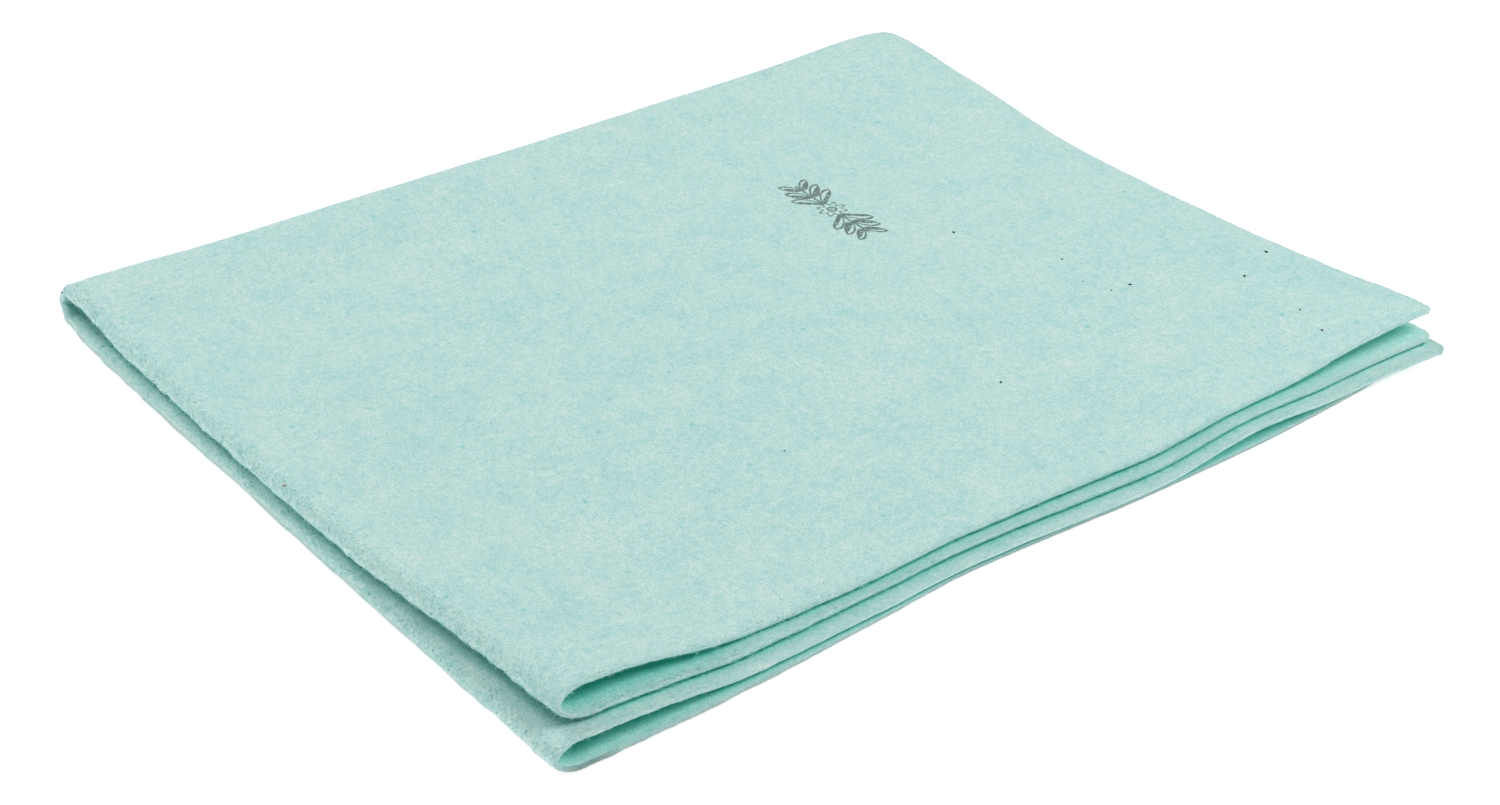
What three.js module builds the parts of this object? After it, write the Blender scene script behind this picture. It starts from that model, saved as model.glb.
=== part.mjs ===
import * as THREE from 'three';

// A floor cloth of needled felt, cut to 600 by 500, folded in half twice and lying flat.
// Lengths are in millimetres and +Z is up.
// The first fold is the short side at -X, where two doubled creases lie one on the other.
// The second fold is the long side at +Y. The cut edges face -Y and +X.
// The layers are numbered from the top. The outer sheet is layers 1 and 4, the inner one 2 and 3.

const feltThick = 1.8;
const lyingAir = 0.5; // air between layers that lie on each other
const creaseRadius = 1.1; // of the cloth's middle surface at the first fold
const halfAcross = 300; // flat cloth, from the first fold to a cut end
const halfAlong = 250; // flat cloth, from the second fold to a cut end

// The first fold. Each row is a station along Y, from the cut edges to the second fold:
// where the upper and the lower crease lie, and how far the felt springs open behind each.
const creases = [
  { y: -122, upperX: -147.4, lowerX: -153.2, upperAir: 3.9, lowerAir: 3.8 },
  { y: -85, upperX: -148.0, lowerX: -153.0, upperAir: 2.9, lowerAir: 2.9 },
  { y: -40, upperX: -150.8, lowerX: -153.0, upperAir: 2.2, lowerAir: 2.1 },
  { y: 20, upperX: -151.1, lowerX: -152.6, upperAir: 1.7, lowerAir: 1.5 },
  { y: 70, upperX: -150.3, lowerX: -152.2, upperAir: 1.3, lowerAir: 1.2 },
  { y: 105, upperX: -149.5, lowerX: -151.6, upperAir: 1.1, lowerAir: 1.0 },
  { y: 122, upperX: -150.2, lowerX: -150.2, upperAir: 1.0, lowerAir: 0.9 },
];
const upperFade = 52; // length over which the air behind the upper crease dies away
const lowerFade = 54; // the same behind the lower crease

// The second fold. Each row is a station along X: where its outermost line lies,
// and the air that the turn holds between the two inner layers.
const turnRows = [
  { x: -150, y: 124.6, air: 3.2 },
  { x: -90, y: 125.2, air: 3.4 },
  { x: 0, y: 125.0, air: 3.0 },
  { x: 80, y: 125.0, air: 2.8 },
  { x: 125, y: 124.6, air: 2.6 },
  { x: 142, y: 123.8, air: 2.4 },
  { x: 150, y: 121.8, air: 2.2 },
];
const outerTurn = 4.7; // depth of the turn, outer sheet
const innerTurn = 2.4; // depth of the turn, inner sheet
const turnFade = 34; // length over which the air in the turn dies away

// The cut edges that face -Y: where each layer ends, at stations along X.
const frontEdge = [
  { x: -150, layer1: -117.9, layer2: -122.1, layer3: -125.8, layer4: -128.2 },
  { x: -95, layer1: -117.7, layer2: -121.3, layer3: -125.8, layer4: -127.2 },
  { x: -55, layer1: -117.8, layer2: -120.3, layer3: -124.4, layer4: -124.4 },
  { x: -22, layer1: -116.5, layer2: -119.1, layer3: -122.9, layer4: -122.2 },
  { x: 38, layer1: -118.2, layer2: -121.6, layer3: -125.4, layer4: -124.0 },
  { x: 80, layer1: -118.9, layer2: -121.6, layer3: -124.5, layer4: -123.6 },
  { x: 112, layer1: -117.3, layer2: -120.5, layer3: -124.4, layer4: -121.9 },
  { x: 150, layer1: -117.8, layer2: -120.6, layer3: -125.4, layer4: -117.8 },
];

// The cut edges that face +X: where each layer ends, at stations along Y.
const openEdge = [
  { y: -120, layer1: 152.8, layer2: 151.4, layer3: 152.2, layer4: 147.6 },
  { y: -60, layer1: 150.6, layer2: 149.0, layer3: 150.4, layer4: 149.4 },
  { y: 20, layer1: 149.8, layer2: 148.8, layer3: 149.6, layer4: 149.2 },
  { y: 120, layer1: 150.6, layer2: 149.6, layer3: 149.8, layer4: 149.8 },
];

// Swells where the felt stands off what it lies on. Each lifts its layer and those above it.
const swells = [
  { layer: 3, x: 74, y: -122, reachX: 34, reachY: 60, rise: 2.6 }, // arch in the front edge
  { layer: 3, x: 134, y: -122, reachX: 90, reachY: 80, rise: 2.0 },
  { layer: 1, x: 152, y: -112, reachX: 80, reachY: 135, rise: 3.2 }, // lifted corner
  { layer: 1, x: 152, y: -122, reachX: 66, reachY: 42, rise: 1.6 },
  { layer: 2, x: 152, y: 90, reachX: 70, reachY: 66, rise: 2.4 }, // end of the second fold
  { layer: 1, x: 152, y: 92, reachX: 60, reachY: 62, rise: 1.8 },
  { layer: 1, x: -20, y: -20, reachX: 120, reachY: 95, rise: 0.5 },
];

// The mesh: cells along each flat stretch, and cells round each fold.
const cellsAcross = 20;
const cellsAlong = 18;
const cellsCrease = 8;
const cellsTurn = 10;
const foldShare = 0.2; // part of each surface parameter that a fold takes up
const crowding = 0.55; // how far the cells crowd to the folds and the cut edges, up to 1
const probe = 0.001; // step of the surface parameters that slopes are measured over

const { clamp, lerp } = THREE.MathUtils;

// Reads a table column between its rows, as a smooth curve through them.
function readTable(rows, key, at, column) {
  const last = rows.length - 1;
  if (at <= rows[0][key]) return rows[0][column];
  if (at >= rows[last][key]) return rows[last][column];
  const low = rows.findIndex((row, index) => at <= rows[index + 1][key]);
  const slope = (index) => {
    const before = rows[Math.max(index - 1, 0)];
    const after = rows[Math.min(index + 1, last)];
    return (after[column] - before[column]) / (after[key] - before[key]);
  };
  const span = rows[low + 1][key] - rows[low][key];
  const s = (at - rows[low][key]) / span;
  const bend = slope(low) * s * (1 - s) ** 2 - slope(low + 1) * s * s * (1 - s);
  return lerp(rows[low][column], rows[low + 1][column], s * s * (3 - 2 * s)) + span * bend;
}

// A soft bell: 1 at the middle, 0 from a distance of 1.
function bell(distance) {
  const s = Math.min(Math.abs(distance), 1);
  return (1 - s * s) ** 2;
}

// The same bell, held at 1 before it starts to fall.
function fade(distance) {
  return bell(Math.max(distance, 0));
}

// How far a crease's rounded nose reaches in, from half the distance between its two sheets.
function noseDepth(halfHeight) {
  return halfHeight ** 2 / creaseRadius;
}

// What the first fold does at a given y.
function creaseAt(y) {
  const read = (column) => readTable(creases, 'y', y, column);
  const upperAir = read('upperAir');
  const lowerAir = read('lowerAir');
  return {
    upperX: read('upperX'),
    lowerX: read('lowerX'),
    upperAir,
    lowerAir,
    upperNose: noseDepth((feltThick + lyingAir + upperAir) / 2),
    lowerNose: noseDepth((feltThick + lyingAir + lowerAir) / 2),
  };
}

// How far the swells listed for a layer lift it at x, y.
function swellUnder(layer, x, y) {
  let rise = 0;
  for (const swell of swells) {
    if (swell.layer !== layer) continue;
    rise += swell.rise * bell((x - swell.x) / swell.reachX) * bell((y - swell.y) / swell.reachY);
  }
  return rise;
}

// Heights of the middle surfaces of the four layers over the point x, y.
function layerHeights(x, y, turnCentre) {
  const crease = creaseAt(y);
  const upperStart = crease.upperX + crease.upperNose;
  const lowerStart = crease.lowerX + crease.lowerNose;
  const upperX = Math.max(x, upperStart);
  const lowerX = Math.max(x, lowerStart);
  const turnAir = readTable(turnRows, 'x', x, 'air') * fade((turnCentre - y) / turnFade);
  const step = feltThick + lyingAir;
  const lowerAir = crease.lowerAir * fade((lowerX - lowerStart) / lowerFade);
  const upperAir = crease.upperAir * fade((upperX - upperStart) / upperFade);
  const fourth = feltThick / 2;
  const third = fourth + step + lowerAir + swellUnder(3, lowerX, y);
  const second = third + step + turnAir + swellUnder(2, upperX, y);
  const first = second + step + upperAir + swellUnder(1, upperX, y);
  return { first, second, third, fourth };
}

// Spaces the cells so that they are shorter near the folds and the cut edges.
function spread(s) {
  return lerp(s, (1 - Math.cos(Math.PI * s)) / 2, crowding);
}

// A point of the cloth's middle surface.
// a runs across the first fold, from the outer sheet's cut end at -1 to the inner one's at 1.
// b runs across the second fold, from the upper cut edge at -1 to the lower one at 1.
function clothPoint(a, b) {
  const creaseTurn = clamp(a / foldShare, -1, 1) * Math.PI / 2;
  const outerness = (1 - Math.sin(creaseTurn)) / 2; // 1 on the outer sheet, 0 on the inner
  const across = spread(Math.max(Math.abs(a) - foldShare, 0) / (1 - foldShare));
  const turn = clamp(b / foldShare, -1, 1) * Math.PI / 2;
  const lowness = (1 + Math.sin(turn)) / 2; // 1 on the lower pair, 0 on the upper
  const along = spread(Math.max(Math.abs(b) - foldShare, 0) / (1 - foldShare));

  const pickLayer = (rows, key, at) => lerp(
    lerp(readTable(rows, key, at, 'layer2'), readTable(rows, key, at, 'layer1'), outerness),
    lerp(readTable(rows, key, at, 'layer3'), readTable(rows, key, at, 'layer4'), outerness),
    lowness,
  );

  const roughX = lerp(-halfAcross / 2, halfAcross / 2, across);
  const turnCentre = readTable(turnRows, 'x', roughX, 'y') - outerTurn;
  const roughY = lerp(turnCentre, -halfAlong / 2, along);
  const crease = creaseAt(roughY);
  const creaseX = lerp(crease.upperX, crease.lowerX, lowness);
  const flatNose = lerp(crease.upperNose, crease.lowerNose, lowness);
  const nose = lerp(flatNose, noseDepth((outerTurn - innerTurn) / 2), Math.cos(turn));
  const noseX = creaseX + nose * (1 - Math.cos(creaseTurn));
  const x = lerp(noseX, pickLayer(openEdge, 'y', roughY), across);

  const turnDepth = lerp(innerTurn, outerTurn, outerness);
  const turnY = turnCentre + turnDepth * Math.cos(turn);
  const y = lerp(turnY, pickLayer(frontEdge, 'x', x), along);

  const height = layerHeights(x, y, turnCentre);
  const top = lerp(height.second, height.first, outerness);
  const bottom = lerp(height.third, height.fourth, outerness);
  const z = lerp(top, bottom, lowness);
  return new THREE.Vector3(x, y, z);
}

// The direction that the cloth's outer face looks in, at a point of its middle surface.
function clothNormal(a, b) {
  const alongA = clothPoint(Math.min(a + probe, 1), b).sub(clothPoint(Math.max(a - probe, -1), b));
  const alongB = clothPoint(a, Math.min(b + probe, 1)).sub(clothPoint(a, Math.max(b - probe, -1)));
  return alongB.cross(alongA).normalize();
}

// Parameter values along one direction of the sheet, from -1 to 1.
function stations(flatCells, foldCells) {
  const values = [];
  const flat = 1 - foldShare;
  for (let i = 0; i < flatCells; i += 1) values.push(-1 + flat * i / flatCells);
  for (let i = 0; i < foldCells; i += 1) values.push(foldShare * (2 * i / foldCells - 1));
  for (let i = 0; i <= flatCells; i += 1) values.push(foldShare + flat * i / flatCells);
  return values;
}

// One closed felt sheet: an outer face, an inner face and the four cut edges between them.
function feltSheet() {
  const acrossValues = stations(cellsAcross, cellsCrease);
  const alongValues = stations(cellsAlong, cellsTurn);
  const columns = acrossValues.length;
  const rows = alongValues.length;
  const faceSize = columns * rows;
  const positions = [];
  for (const offset of [feltThick / 2, -feltThick / 2]) {
    for (const b of alongValues) {
      for (const a of acrossValues) {
        const point = clothPoint(a, b).addScaledVector(clothNormal(a, b), offset);
        positions.push(point.x, point.y, point.z);
      }
    }
  }

  const indices = [];
  const vertex = (column, row, face) => face * faceSize + row * columns + column;
  const quad = (p, q, r, s) => indices.push(p, q, r, p, r, s);
  for (let row = 0; row + 1 < rows; row += 1) {
    for (let column = 0; column + 1 < columns; column += 1) {
      const corners = [[column, row], [column, row + 1], [column + 1, row + 1], [column + 1, row]];
      quad(...corners.map(([c, r]) => vertex(c, r, 0)));
      quad(...corners.reverse().map(([c, r]) => vertex(c, r, 1)));
    }
  }
  for (let column = 0; column + 1 < columns; column += 1) {
    for (const [from, to, row] of [[column, column + 1, 0], [column + 1, column, rows - 1]]) {
      quad(vertex(from, row, 0), vertex(to, row, 0), vertex(to, row, 1), vertex(from, row, 1));
    }
  }
  for (let row = 0; row + 1 < rows; row += 1) {
    for (const [from, to, column] of [[row + 1, row, 0], [row, row + 1, columns - 1]]) {
      quad(vertex(column, from, 0), vertex(column, to, 0), vertex(column, to, 1), vertex(column, from, 1));
    }
  }

  const geometry = new THREE.BufferGeometry();
  geometry.setAttribute('position', new THREE.Float32BufferAttribute(positions, 3));
  geometry.setIndex(indices);
  return geometry;
}

const felt = new THREE.MeshStandardMaterial({ color: 0xb9dcd5, roughness: 0.95, metalness: 0 });

// The origin is the middle of the cloth's footprint, on the surface that it lies on.
function buildCloth() {
  const geometry = feltSheet();
  geometry.computeBoundingBox();
  const middle = geometry.boundingBox.getCenter(new THREE.Vector3());
  geometry.translate(-middle.x, -middle.y, -geometry.boundingBox.min.z);
  geometry.computeVertexNormals();
  const cloth = new THREE.Mesh(geometry, felt);
  cloth.name = 'cloth';
  return cloth;
}

const floorCloth = new THREE.Group();
floorCloth.add(buildCloth());

export default floorCloth;
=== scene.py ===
from math import pi, radians

import bpy
import numpy as np
from mathutils import Matrix, Vector


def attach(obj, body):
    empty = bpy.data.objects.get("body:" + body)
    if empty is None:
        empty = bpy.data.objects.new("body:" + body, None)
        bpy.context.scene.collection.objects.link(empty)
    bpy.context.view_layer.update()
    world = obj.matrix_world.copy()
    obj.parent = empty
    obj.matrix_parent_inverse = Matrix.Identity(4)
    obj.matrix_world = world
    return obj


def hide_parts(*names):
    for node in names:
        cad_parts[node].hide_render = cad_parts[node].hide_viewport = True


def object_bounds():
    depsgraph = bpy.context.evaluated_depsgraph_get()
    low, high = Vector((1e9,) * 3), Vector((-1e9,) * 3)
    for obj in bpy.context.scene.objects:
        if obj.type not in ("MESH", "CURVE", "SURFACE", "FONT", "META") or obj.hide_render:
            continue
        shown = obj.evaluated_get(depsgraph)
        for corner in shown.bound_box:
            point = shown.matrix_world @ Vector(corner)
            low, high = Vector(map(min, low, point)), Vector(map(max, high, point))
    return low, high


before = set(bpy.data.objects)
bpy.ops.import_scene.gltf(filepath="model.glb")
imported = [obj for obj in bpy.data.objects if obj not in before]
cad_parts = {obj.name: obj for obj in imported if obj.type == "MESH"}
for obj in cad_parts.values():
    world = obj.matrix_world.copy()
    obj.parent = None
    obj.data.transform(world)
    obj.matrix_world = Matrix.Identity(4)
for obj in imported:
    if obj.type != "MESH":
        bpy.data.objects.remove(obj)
cadLow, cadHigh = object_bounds()
mm = 0.001


# camera, light and floor

studio = {
    "cameraPlace": (-0.43684, -0.55357, 0.41828),  # metres from the middle of the cloth's footprint
    "cameraTurn": -38.347,  # degrees round +Z, 0 looks along +Y
    "cameraTilt": 31.773,  # degrees below the horizon
    "cameraRoll": 1.174,
    "lens": 69.3,
    "farthest": 50,  # metres that the camera sees
    "floorSize": 9.0,
    "floorGap": 0.05,  # millimetres between the floor and the cloth
    "floorColour": (0.90, 0.90, 0.90, 1),
    "floorRoughness": 0.9,
    "floorSpecular": 0.0,
    "floorGlow": 0.62,  # the floor is lit from below as well, so shadows stay faint
    "glowColour": (1.0, 0.88, 0.89, 1),  # evens out what the cloth reflects onto the floor
    "skyColour": (0.97, 0.985, 1.0, 1),
    "skyStrength": 0.05,
}

# each lamp: where it hangs and how big it is, in metres, with its power in watts
lamps = [
    {"name": "rightSoftbox", "place": (0.84, -0.66, 1.06), "size": 1.0, "power": 18.0},
    {"name": "leftSoftbox", "place": (-1.29, -0.16, 0.75), "size": 1.0, "power": 8.2},
    {"name": "backSoftbox", "place": (-0.30, 1.14, 0.92), "size": 1.0, "power": 13.0},
]


def setInputs(node, values):
    for name, value in values.items():
        node.inputs[name].default_value = value


def makeStudio():
    scene = bpy.context.scene
    scene.view_settings.view_transform = "Standard"
    camera = bpy.data.objects.new("camera", bpy.data.cameras.new("camera"))
    scene.collection.objects.link(camera)
    camera.data.lens = studio["lens"]
    camera.data.clip_end = studio["farthest"]
    turn = Matrix.Rotation(radians(studio["cameraTurn"]), 4, "Z")
    tilt = Matrix.Rotation(radians(90 - studio["cameraTilt"]), 4, "X")
    roll = Matrix.Rotation(radians(studio["cameraRoll"]), 4, "Z")
    camera.matrix_world = Matrix.Translation(studio["cameraPlace"]) @ turn @ tilt @ roll
    scene.camera = camera

    for lamp in lamps:
        light = bpy.data.lights.new(lamp["name"], "AREA")
        light.shape = "DISK"
        light.size = lamp["size"]
        light.energy = lamp["power"]
        lampObject = bpy.data.objects.new(lamp["name"], light)
        lampObject.location = lamp["place"]
        lampObject.rotation_euler = (-Vector(lamp["place"])).to_track_quat("-Z", "Y").to_euler()
        scene.collection.objects.link(lampObject)

    sky = bpy.data.worlds.new("sky")
    scene.world = sky
    sky.use_nodes = True
    skyLook = {"Color": studio["skyColour"], "Strength": studio["skyStrength"]}
    setInputs(sky.node_tree.nodes["Background"], skyLook)

    half = studio["floorSize"] / 2
    floorMesh = bpy.data.meshes.new("floor")
    floorHeight = cadLow.z - studio["floorGap"] * mm
    corners = [(-half, -half), (half, -half), (half, half), (-half, half)]
    floorMesh.from_pydata([(x, y, floorHeight) for x, y in corners], [], [(0, 1, 2, 3)])
    floor = bpy.data.objects.new("floor", floorMesh)
    scene.collection.objects.link(floor)
    paint = bpy.data.materials.new("floorPaint")
    paint.use_nodes = True
    paintLook = {
        "Base Color": studio["floorColour"],
        "Roughness": studio["floorRoughness"],
        "Specular IOR Level": studio["floorSpecular"],
        "Emission Color": studio["glowColour"],
        "Emission Strength": studio["floorGlow"],
    }
    setInputs(paint.node_tree.nodes["Principled BSDF"], paintLook)
    floorMesh.materials.append(paint)
    print("studio ready")


makeStudio()


# the cloth: one felt sheet, folded in half twice
# a runs from the outer sheet's cut end, -1, over the first fold, 0, to the inner sheet's cut end, 1
# b runs from the upper cut edge, -1, over the second fold, 0, to the lower cut edge, 1
# lengths in the tables are in millimetres, and layers are numbered from the top

cloth = {
    "thickness": 1.8,
    "air": 0.5,  # between layers that lie on each other
    "creaseRadius": 1.1,
    "halfWidth": 150,  # of the folded cloth
    "halfDepth": 125,
    "upperFade": 52,  # how far the air behind the upper crease reaches in
    "lowerFade": 54,
    "outerTurn": 4.7,  # how deep the second fold's turn is, in the outer sheet
    "innerTurn": 2.4,  # and in the inner one
    "turnFade": 34,  # how far the air in that turn reaches in
    "turnEndRound": 5.0,  # how round the second fold is at its open end, seen from above
    "turnDrawnBack": 0.6,  # share of that roundness that the turn's middle follows
    "foldShare": 0.2,  # share of a and of b that each fold takes up
    "edgeBulge": 0.75,  # roundness of the cut faces
    "edgeReach": 4.0,  # how far in from a cut edge its unevenness dies away
    "edgeThinning": 0.3,  # share of the thickness that the felt loses at a cut edge
    "edgeThinReach": 3.2,
    "tuftReach": 9.0,  # how far from the first fold the tufts end
    "tuftFromEdge": 6.0,  # how far in from a cut edge they are at their full height
    "backOffset": 520,  # how far beside the outer face the inner one is laid out, on the flat cloth
    "rimHeight": 3.0,  # and how wide the cut faces are there
    "backSeedStep": 50,  # the inner face's hills differ from the outer one's
    "bakeMargin": 6.0,  # round the two faces in the bake map
    "bakeSpan": 1045.0,  # width that the bake map covers
}

# where the two creases of the first fold lie, along Y, and how far the felt springs open behind them
creaseRows = [
    {"y": -122, "upperX": -147.4, "lowerX": -153.2, "upperAir": 3.9, "lowerAir": 3.8},
    {"y": -85, "upperX": -148.0, "lowerX": -153.0, "upperAir": 2.9, "lowerAir": 2.9},
    {"y": -40, "upperX": -150.8, "lowerX": -153.0, "upperAir": 2.2, "lowerAir": 2.1},
    {"y": 20, "upperX": -151.1, "lowerX": -152.6, "upperAir": 1.7, "lowerAir": 1.5},
    {"y": 70, "upperX": -150.3, "lowerX": -152.2, "upperAir": 1.3, "lowerAir": 1.2},
    {"y": 105, "upperX": -149.5, "lowerX": -151.6, "upperAir": 1.1, "lowerAir": 1.0},
    {"y": 122, "upperX": -150.2, "lowerX": -150.2, "upperAir": 1.0, "lowerAir": 0.9},
]

# where the second fold's outermost line lies, along X, and the air that its turn holds
turnRows = [
    {"x": -150, "y": 124.6, "air": 3.2},
    {"x": -90, "y": 125.2, "air": 3.4},
    {"x": 0, "y": 125.0, "air": 3.0},
    {"x": 80, "y": 125.0, "air": 2.8},
    {"x": 125, "y": 124.6, "air": 2.6},
    {"x": 142, "y": 123.8, "air": 2.4},
    {"x": 150, "y": 121.8, "air": 2.2},
]

# where each layer's cut edge lies on the long side, along X
frontRows = [
    {"x": -150, "layer1": -117.9, "layer2": -122.1, "layer3": -125.8, "layer4": -128.2},
    {"x": -95, "layer1": -117.7, "layer2": -121.3, "layer3": -125.8, "layer4": -127.2},
    {"x": -55, "layer1": -117.8, "layer2": -120.3, "layer3": -124.4, "layer4": -124.4},
    {"x": -22, "layer1": -116.5, "layer2": -119.1, "layer3": -122.9, "layer4": -122.2},
    {"x": 38, "layer1": -118.2, "layer2": -121.6, "layer3": -125.4, "layer4": -124.0},
    {"x": 80, "layer1": -118.9, "layer2": -121.6, "layer3": -124.5, "layer4": -123.6},
    {"x": 112, "layer1": -117.3, "layer2": -120.5, "layer3": -124.4, "layer4": -121.9},
    {"x": 150, "layer1": -117.8, "layer2": -120.6, "layer3": -125.4, "layer4": -117.8},
]

# the same on the open short side, along Y, and how round each layer's corner is cut
openRows = [
    {"y": -120, "layer1": 152.8, "layer2": 151.4, "layer3": 152.2, "layer4": 147.6},
    {"y": -60, "layer1": 150.6, "layer2": 149.0, "layer3": 150.4, "layer4": 149.4},
    {"y": 20, "layer1": 149.8, "layer2": 148.8, "layer3": 149.6, "layer4": 149.2},
    {"y": 120, "layer1": 150.6, "layer2": 149.6, "layer3": 149.8, "layer4": 149.8},
]
cornerRound = {"layer1": 2.0, "layer2": 3.6, "layer3": 3.2, "layer4": 3.0}

# where the felt stands off what it lies on, with the layers above it
swells = [
    {"layer": 3, "x": 74, "y": -122, "reachX": 34, "reachY": 60, "rise": 2.6},  # arch in the front edge
    {"layer": 3, "x": 134, "y": -122, "reachX": 90, "reachY": 80, "rise": 2.0},
    {"layer": 1, "x": 152, "y": -112, "reachX": 80, "reachY": 135, "rise": 3.2},  # lifted corner
    {"layer": 1, "x": 152, "y": -122, "reachX": 66, "reachY": 42, "rise": 1.6},
    {"layer": 2, "x": 152, "y": 90, "reachX": 70, "reachY": 66, "rise": 2.4},  # end of the second fold
    {"layer": 1, "x": 152, "y": 92, "reachX": 60, "reachY": 62, "rise": 1.8},
    {"layer": 1, "x": -20, "y": -20, "reachX": 120, "reachY": 95, "rise": 0.5},
]

# small troughs where the felt crumples, in flat millimetres from the crossing of the two folds
crumples = [
    {"across": 1.0, "along": -3.4, "length": 2.4, "width": 0.8, "turn": 65, "depth": 0.8},
    {"across": 1.6, "along": -0.4, "length": 2.6, "width": 0.8, "turn": 55, "depth": 0.9},
    {"across": -2.6, "along": -4.6, "length": 3.2, "width": 1.0, "turn": 35, "depth": 0.35},
    {"across": 1.8, "along": -6.0, "length": 2.4, "width": 0.9, "turn": 70, "depth": 0.6},
]

# hills and hollows in the felt itself: how far apart they are and how high, per face
unevenness = [
    {"cell": 34.0, "height": 0.10, "seed": 11},
    {"cell": 11.0, "height": 0.06, "seed": 12},
    {"cell": 4.2, "height": 0.05, "seed": 13},
]

# waves in the cut edges, in the sheet's own plane
edgeWaves = [
    {"cell": 16.0, "height": 0.22, "seed": 21},
    {"cell": 4.5, "height": 0.16, "seed": 22},
    {"cell": 1.5, "height": 0.12, "seed": 23},
]

# where in the same noise each cut edge reads its waves
edgeLanes = {"innerEnd": 3.5, "outerEnd": 9.5, "lowerEdge": 15.5, "upperEdge": 21.5}

# raggedness of the cut faces, and how far the noise moves on from one level of a face to the next
rimWaves = [
    {"cell": 0.9, "height": 0.10, "step": 1.3, "seed": 31},
    {"cell": 2.2, "height": 0.08, "step": 0.7, "seed": 32},
]

# tufts that the felt has raised along the first fold
foldTufts = [
    {"cell": 4.4, "height": 0.12, "seed": 41},
    {"cell": 1.6, "height": 0.34, "seed": 42},
]

# loose fibres that stand off the folds and the cut edges
fuzz = {
    "perSquareMetre": 2.4e6,  # where the felt is hairiest
    "openFace": 0.003,  # share of that on the rest of the outer face
    "turn": 0.3,  # and on the second fold
    "shortEdges": 0.4,
    "longEdges": 0.8,
    "creaseReach": 5.0,  # how far from a fold or an edge the fibres stand
    "turnReach": 4.0,
    "edgeReach": 1.5,
    "lowest": 4.2,  # none grow lower than this, where the cloth lies on the floor
    "length": 1.0,
    "radius": 0.08,
    "shortest": 0.35,  # a fibre's size against the length and radius above
    "longest": 1.25,
    "sides": 3,
    "segments": 2,
    "curl": 0.35,  # how far a fibre's tip bends over, as a share of its length
    "lean": 1.1,
    "seed": 7,
}

# mesh cells on each stretch of the sheet, and how many of them one cell of a face spans
meshCells = {
    "outerAcross": {"cells": 360, "topStep": 2, "backStep": 8},
    "innerAcross": {"cells": 360, "topStep": 6, "backStep": 8},
    "upperAlong": {"cells": 288, "topStep": 2, "backStep": 8},
    "lowerAlong": {"cells": 300, "topStep": 6, "backStep": 8},
    "crease": {"cells": 56, "topStep": 2, "backStep": 2},
    "turn": {"cells": 56, "topStep": 2, "backStep": 2},
    "rimLevels": 6,
    "crowding": 0.6,  # how much closer together the cells get at the folds and the cut edges
    "nearEdge": (1, 3, 5),  # stations beside a cut edge that every face uses
}

noiseGrid = 256  # the random hills repeat after this many cells
tiny = 1e-12  # keeps a vector without length from a division by zero


def mix(low, high, share):
    return low + (high - low) * share


def bell(distance):
    s = np.minimum(np.abs(distance), 1)
    return (1 - s * s) ** 2


def fade(distance):
    return bell(np.maximum(distance, 0))


def readRows(rows, key, at, column):
    # smooth curve through a table's rows, held flat past its ends
    keys = np.array([row[key] for row in rows], float)
    values = np.array([row[column] for row in rows], float)
    last = len(rows) - 1
    before = np.maximum(np.arange(last + 1) - 1, 0)
    after = np.minimum(np.arange(last + 1) + 1, last)
    slopes = (values[after] - values[before]) / (keys[after] - keys[before])
    at = np.clip(at, keys[0], keys[-1])
    low = np.clip(np.searchsorted(keys, at) - 1, 0, last - 1)
    span = keys[low + 1] - keys[low]
    s = (at - keys[low]) / span
    bend = slopes[low] * s * (1 - s) ** 2 - slopes[low + 1] * s * s * (1 - s)
    return mix(values[low], values[low + 1], s * s * (3 - 2 * s)) + span * bend


def softNoise(u, v, cell, seed):
    # smooth random hills from about -1 to 1
    grid = np.random.default_rng(seed).uniform(-1, 1, (noiseGrid, noiseGrid))
    i, j = np.asarray(u) / cell, np.asarray(v) / cell
    i0, j0 = np.floor(i).astype(int), np.floor(j).astype(int)
    s, t = i - i0, j - j0
    s, t = s * s * (3 - 2 * s), t * t * (3 - 2 * t)
    i0, i1 = i0 % noiseGrid, (i0 + 1) % noiseGrid
    j0, j1 = j0 % noiseGrid, (j0 + 1) % noiseGrid
    return mix(mix(grid[i0, j0], grid[i1, j0], s), mix(grid[i0, j1], grid[i1, j1], s), t)


def layeredNoise(rows, u, v, seedStep=0):
    return sum(row["height"] * softNoise(u, v, row["cell"], row["seed"] + seedStep) for row in rows)


def noseDepth(halfHeight):
    return halfHeight**2 / cloth["creaseRadius"]


def creaseAt(y):
    columns = ("upperX", "lowerX", "upperAir", "lowerAir")
    crease = {name: readRows(creaseRows, "y", y, name) for name in columns}
    step = cloth["thickness"] + cloth["air"]
    crease["upperNose"] = noseDepth((step + crease["upperAir"]) / 2)
    crease["lowerNose"] = noseDepth((step + crease["lowerAir"]) / 2)
    return crease


def swellUnder(layer, x, y):
    rise = 0
    for swell in swells:
        if swell["layer"] == layer:
            acrossBell = bell((x - swell["x"]) / swell["reachX"])
            rise = rise + swell["rise"] * acrossBell * bell((y - swell["y"]) / swell["reachY"])
    return rise


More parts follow.
